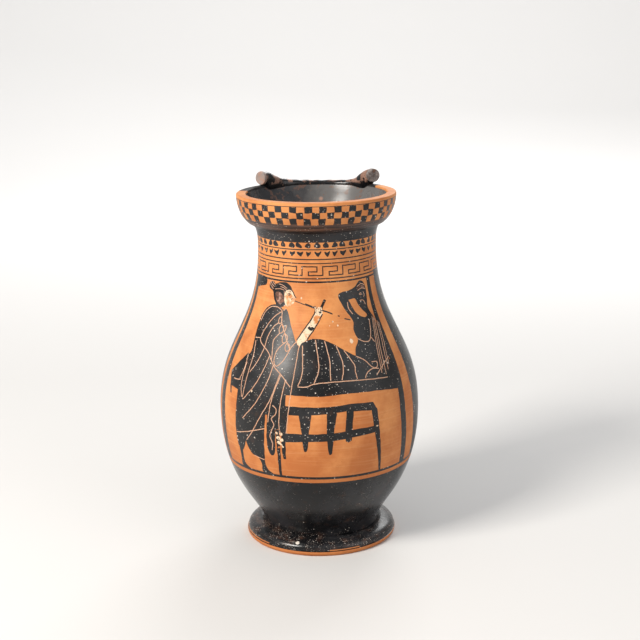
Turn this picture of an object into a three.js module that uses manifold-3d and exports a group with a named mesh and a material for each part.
// A black-figure olpe: a tall wine jug thrown in fired clay, with a round mouth, a strap handle at the
// back and two small discs where the handle's yoke ends on the rim. The whole jug is one piece of clay.
// Millimetres, +Z up, the front of the jug faces -Y, the origin is the middle of the flat underside.

import * as THREE from 'three';
import * as BufferGeometryUtils from 'three/addons/utils/BufferGeometryUtils.js';
import Module from 'manifold-3d';

const wasm = await Module();
wasm.setup();

// Heights above the table
const rimHeight = 240;
const lipBaseHeight = 219.2;
const neckHeight = 203.4;
const bellyHeight = 92.6;
const stemHeight = 9.2;

// Outer radii
const rimRadius = 53.6;
const lipBaseRadius = 42.3;
const neckRadius = 39.8;
const bellyRadius = 68.5;
const stemRadius = 39.8;
const footRadius = 52.1;

// How far each curve of the outside runs on before it bends
const bellySpringOut = 1.2;
const bellySpringUp = 16.6;
const bellyFullness = 54.6;
const shoulderFullness = 48.8;
const neckFullness = 53.4;
const lipSpring = 4.2;
const lipFullness = 12;

// Foot
const footUndercut = 1.1;
const footBandHeight = 4.8;
const footSpring = 2.8;
const footShoulder = 7;

// Walls
const wall = 4.6;
const neckWall = 4.4;
const floorThickness = 7.5;
const rimWidth = 6.6;
const rimRound = 0.9;

// Strap handle at the back
const strapWidth = 25;
const strapThickness = 8.5;
const strapReach = 27;
const strapTopDrop = 7;
const strapFootHeight = 128;
const strapTopFlare = 16;
const strapFootFlare = 7;
const strapFlareLength = 24;
const strapBite = 5.5;

// Yoke along the back of the rim, and the disc at each end of it
const yokeRadius = 3.9;
const yokeInset = 4.6;
const yokeSaddleProud = 0.8;
const discs = [
  { side: -1, angle: 50.3, saddleAngle: 10, rise: 5.5, radius: 4.7, facing: 42 },
  { side: 1, angle: 53, saddleAngle: 24, rise: 6.4, radius: 4.6, facing: 27 },
];
const discThickness = 4.2;
const discRound = 0.8;

// Fineness of the facets
const turns = 60;
const curveSteps = 9;
const hollowSteps = 6;
const shortSteps = 4;
const strapSteps = 16;
const strapSides = 8;
const yokeSteps = 22;
const yokeSides = 6;
const discSides = 20;

const clay = new THREE.MeshStandardMaterial({ color: 0xc8743a, roughness: 0.6, metalness: 0 });

const radians = THREE.MathUtils.degToRad;
const point = (radius, height) => new THREE.Vector2(radius, height);

// A curve from one point to another that leaves and arrives along the two handles
function bend(start, leave, arrive, end, steps) {
  return new THREE.CubicBezierCurve(start, leave, arrive, end).getPoints(steps);
}

// Joins stretches that share their end points into one outline
function chain(...stretches) {
  return stretches.flatMap((stretch, i) => (i === 0 ? stretch : stretch.slice(1)));
}

// A closed solid with merged corners, ready to be joined or cut
function solid(geometry) {
  const bare = geometry.clone();
  bare.deleteAttribute('normal');
  bare.deleteAttribute('uv');
  const merged = BufferGeometryUtils.mergeVertices(bare);
  const vertProperties = Float32Array.from(merged.attributes.position.array);
  const triVerts = Uint32Array.from(merged.index.array);
  return new wasm.Manifold(new wasm.Mesh({ numProp: 3, vertProperties, triVerts }));
}

// Turns an outline of (radius, height) points about the upright axis
function turned(outline, sides) {
  const geometry = new THREE.LatheGeometry(outline, sides);
  geometry.rotateX(Math.PI / 2);
  return geometry;
}

// The outside, from the middle of the underside up to the middle of the mouth
function outsideOutline() {
  const footEdge = point(footRadius, footBandHeight / 2);
  const footTop = point(footRadius - footUndercut, footBandHeight);
  const stem = point(stemRadius, stemHeight);
  const belly = point(bellyRadius, bellyHeight);
  const neck = point(neckRadius, neckHeight);
  const lipBase = point(lipBaseRadius, lipBaseHeight);
  const rimEdge = point(rimRadius, rimHeight - rimRound);

  const foot = [point(0, 0), point(footRadius - footUndercut, 0), footEdge, footTop];
  const footCurve = bend(footTop, point(footTop.x, footTop.y + footSpring),
    point(stem.x + footShoulder, stem.y), stem, shortSteps);
  const bellyCurve = bend(stem, point(stem.x + bellySpringOut, stem.y + bellySpringUp),
    point(belly.x, belly.y - bellyFullness), belly, curveSteps);
  const shoulderCurve = bend(belly, point(belly.x, belly.y + shoulderFullness),
    point(neck.x, neck.y - neckFullness), neck, curveSteps);
  const collarCurve = bend(neck, point(neck.x, neck.y + (lipBase.y - neck.y) / 3),
    point(neck.x, lipBase.y - lipSpring), lipBase, shortSteps);
  const lipCurve = bend(lipBase, point(lipBase.x + lipSpring, lipBase.y),
    point(rimEdge.x, rimEdge.y - lipFullness), rimEdge, shortSteps);
  const rim = [rimEdge, point(rimRadius - rimRound, rimHeight), point(0, rimHeight)];
  return chain(foot, footCurve, bellyCurve, shoulderCurve, collarCurve, lipCurve, rim);
}

// The hollow inside, from the middle of the floor to above the mouth, wound the same way
function hollowOutline() {
  const floor = point(0, floorThickness);
  const corner = point(stemRadius - 2 * wall, floorThickness + wall);
  const belly = point(bellyRadius - wall, bellyHeight);
  const neck = point(neckRadius - neckWall, neckHeight);
  const mouth = point(rimRadius - rimWidth, rimHeight - rimRound);

  const floorCurve = bend(floor, point(corner.x / 2, floor.y), point(corner.x - wall, corner.y - wall / 2),
    corner, shortSteps);
  const bellyCurve = bend(corner, point(corner.x + bellySpringOut, corner.y + bellySpringUp),
    point(belly.x, belly.y - bellyFullness), belly, hollowSteps);
  const shoulderCurve = bend(belly, point(belly.x, belly.y + shoulderFullness),
    point(neck.x, neck.y - neckFullness), neck, hollowSteps);
  const mouthCurve = bend(neck, point(neck.x, neck.y + (mouth.y - neck.y) / 2),
    point(mouth.x - rimRound, mouth.y - lipSpring), mouth, shortSteps);
  const opening = [mouth, point(mouth.x + rimRound, rimHeight), point(mouth.x + rimRound, rimHeight + wall),
    point(0, rimHeight + wall)];
  return chain(floorCurve, bellyCurve, shoulderCurve, mouthCurve, opening);
}

// Radius of the outside at a height, read off the outline
function outsideRadius(height) {
  const outline = outsideOutline().slice(2, -1);
  const above = outline.findIndex((p) => p.y >= height);
  const [low, high] = [outline[above - 1], outline[above]];
  return THREE.MathUtils.mapLinear(height, low.y, high.y, low.x, high.x);
}

// The strap leaves the back of the rim, bows out and comes down on the shoulder, wider at both ends
function strap() {
  const top = new THREE.Vector3(0, rimRadius - rimWidth / 2, rimHeight - strapTopDrop);
  const foot = new THREE.Vector3(0, outsideRadius(strapFootHeight) - strapBite, strapFootHeight);
  const reach = rimRadius + strapReach;
  const path = new THREE.CubicBezierCurve3(
    top,
    new THREE.Vector3(0, reach, rimHeight - strapTopDrop),
    new THREE.Vector3(0, reach, strapFootHeight + strapReach),
    foot,
  );
  const section = new THREE.Shape();
  section.absellipse(0, 0, strapWidth / 2, strapThickness / 2, 0, 2 * Math.PI);
  const geometry = new THREE.ExtrudeGeometry(section, {
    steps: strapSteps, curveSegments: strapSides, extrudePath: path, bevelEnabled: false,
  });
  const position = geometry.attributes.position;
  for (let i = 0; i < position.count; i += 1) {
    const here = new THREE.Vector3(0, position.getY(i), position.getZ(i));
    const nearTop = Math.max(0, 1 - here.distanceTo(top) / strapFlareLength);
    const nearFoot = Math.max(0, 1 - here.distanceTo(foot) / strapFlareLength);
    const spread = (strapTopFlare * nearTop + strapFootFlare * nearFoot) / strapWidth;
    position.setX(i, position.getX(i) * (1 + spread));
  }
  return geometry;
}

// Where the yoke runs: round the back of the rim, level in the saddle and rising to each disc
function yokePath() {
  const run = rimRadius - yokeInset;
  const saddle = rimHeight - yokeRadius + yokeSaddleProud;
  const points = [];
  for (let i = 0; i <= yokeSteps; i += 1) {
    const along = (2 * i) / yokeSteps - 1;
    const disc = discs[along < 0 ? 0 : 1];
    const angle = Math.abs(along) * disc.angle;
    const climb = THREE.MathUtils.smoothstep(angle, disc.saddleAngle, disc.angle);
    const height = THREE.MathUtils.lerp(saddle, rimHeight + disc.rise, climb);
    const turn = radians(angle) * disc.side;
    points.push(new THREE.Vector3(run * Math.sin(turn), run * Math.cos(turn), height));
  }
  return new THREE.CatmullRomCurve3(points);
}

function yoke() {
  const section = new THREE.Shape();
  section.absarc(0, 0, yokeRadius, 0, 2 * Math.PI);
  return new THREE.ExtrudeGeometry(section, {
    steps: yokeSteps, curveSegments: yokeSides, extrudePath: yokePath(), bevelEnabled: false,
  });
}

// A small clay disc with a softened edge, its face turned outwards from the front
function disc({ side, angle, rise, radius, facing }) {
  const half = discThickness / 2;
  const outline = [point(0, -half), point(radius - discRound, -half), point(radius, discRound - half),
    point(radius, half - discRound), point(radius - discRound, half), point(0, half)];
  const geometry = turned(outline, discSides);
  geometry.rotateX(Math.PI / 2);
  geometry.rotateZ(side * radians(facing));
  const run = rimRadius - yokeInset;
  const turn = side * radians(angle);
  geometry.translate(run * Math.sin(turn), run * Math.cos(turn), rimHeight + rise);
  return geometry;
}

function olpe() {
  let body = solid(turned(outsideOutline(), turns)).add(solid(strap()));
  body = body.subtract(solid(turned(hollowOutline(), turns)));
  body = body.add(solid(yoke()));
  for (const each of discs) body = body.add(solid(disc(each)));

  const { vertProperties, triVerts } = body.getMesh();
  const geometry = new THREE.BufferGeometry();
  geometry.setAttribute('position', new THREE.BufferAttribute(Float32Array.from(vertProperties), 3));
  geometry.setIndex(new THREE.BufferAttribute(Uint32Array.from(triVerts), 1));
  geometry.computeVertexNormals();
  const mesh = new THREE.Mesh(geometry, clay);
  mesh.name = 'olpe';
  return mesh;
}

const group = new THREE.Group();
group.add(olpe());

export default group;
